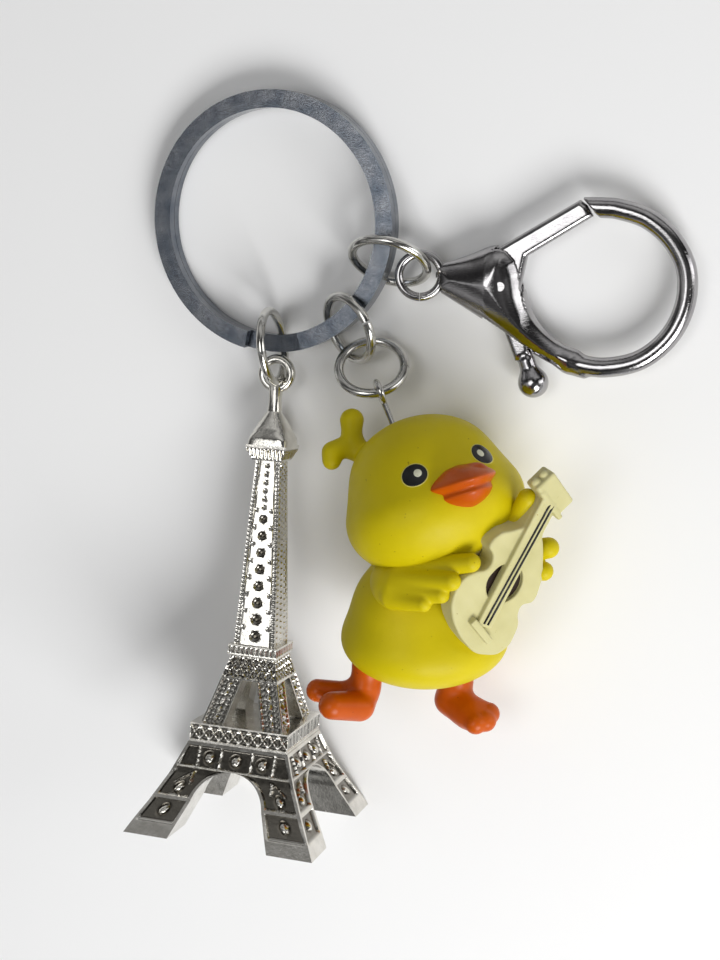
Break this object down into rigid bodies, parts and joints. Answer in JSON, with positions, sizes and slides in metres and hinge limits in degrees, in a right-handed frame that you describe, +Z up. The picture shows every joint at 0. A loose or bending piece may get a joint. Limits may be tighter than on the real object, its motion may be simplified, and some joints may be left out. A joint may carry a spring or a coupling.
{
  "type": "keychain",
  "caption": "Keychain with a flat split ring, a lever clasp, a lattice tower charm and a duckling charm holding a guitar.",
  "frame": {"origin": "centre of the whole part's bounding box, on the table it lies on", "axes": "+Z up from the table; +Y from the charms towards the split ring, along the longest side; +X towards the clasp"},
  "size_m": [0.0626, 0.0866, 0.0225],
  "materials": {
    "dark_chrome": "polished",
    "nickel": "polished",
    "spring_steel": "satin",
    "yellow_vinyl": "satin",
    "orange_vinyl": "satin",
    "cream_vinyl": "satin"
  },
  "bodies": {
    "ring": {"split_ring": "dark_chrome"},
    "tower_link": {"tower_link": "nickel"},
    "tower": {"tower_charm": "nickel"},
    "duck_upper_link": {"duck_upper_link": "dark_chrome"},
    "duck_lower_link": {"duck_lower_link": "dark_chrome"},
    "duck": {"screw_eye": "nickel", "duck_head": "yellow_vinyl", "duck_beak": "orange_vinyl", "duck_body": "yellow_vinyl", "duck_right_wing": "yellow_vinyl", "duck_left_wing": "yellow_vinyl", "duck_right_foot": "orange_vinyl", "duck_left_foot": "orange_vinyl", "guitar": "cream_vinyl"},
    "clasp_link": {"clasp_link": "dark_chrome"},
    "clasp_eye_ring": {"clasp_eye_ring": "dark_chrome"},
    "clasp": {"clasp_body": "dark_chrome", "clasp_pin": "dark_chrome", "clasp_spring": "spring_steel"},
    "clasp_lever": {"clasp_lever": "dark_chrome"}
  },
  "joints": [
    {"name": "tower_link_swing", "type": "hinge", "parent": "ring", "child": "tower_link", "pos_m": [-0.01613, 0.01479, 0.00273], "axis": [0.9965, 0.0305, 0.078], "range_deg": [-35, 15]},
    {"name": "tower_swing", "type": "hinge", "parent": "tower_link", "child": "tower", "pos_m": [-0.0161, 0.01125, 0.00315], "axis": [0, 0, 1], "range_deg": [-60, 0]},
    {"name": "duck_upper_link_swing", "type": "hinge", "parent": "ring", "child": "duck_upper_link", "pos_m": [-0.008, 0.01777, 0.0033], "axis": [0.7815, 0.6223, 0.0455], "range_deg": [-30, 10]},
    {"name": "duck_lower_link_swing", "type": "hinge", "parent": "duck_upper_link", "child": "duck_lower_link", "pos_m": [-0.00544, 0.01355, 0.0035], "axis": [0.6858, 0.3347, 0.6462], "range_deg": [-10, 10]},
    {"name": "duck_swing", "type": "hinge", "parent": "duck_lower_link", "child": "duck", "pos_m": [-0.00269, 0.01038, 0.00658], "axis": [0.8958, 0.2342, -0.3778], "range_deg": [-45, 15]},
    {"name": "clasp_link_swing", "type": "hinge", "parent": "ring", "child": "clasp_link", "pos_m": [-0.00345, 0.0244, 0.00348], "axis": [0.3017, 0.9534, -0.0011], "range_deg": [-30, 10]},
    {"name": "clasp_eye_ring_swing", "type": "hinge", "parent": "clasp_link", "child": "clasp_eye_ring", "pos_m": [0.00165, 0.02346, 0.003], "axis": [0.3466, 0.5538, 0.7571], "range_deg": [-10, 10]},
    {"name": "clasp_turn", "type": "hinge", "parent": "clasp_eye_ring", "child": "clasp", "pos_m": [0.00098, 0.02316, 0.00315], "axis": [0.182, 0.092, 0.979], "range_deg": [0, 60]},
    {"name": "lever_press", "type": "hinge", "parent": "clasp", "child": "clasp_lever", "pos_m": [0.01036, 0.02242, 0.0027], "axis": [0, 0, 1], "range_deg": [-24, 0], "stiffness_Nm_per_rad": 0.004, "springref_deg": 5.73}
  ]
}
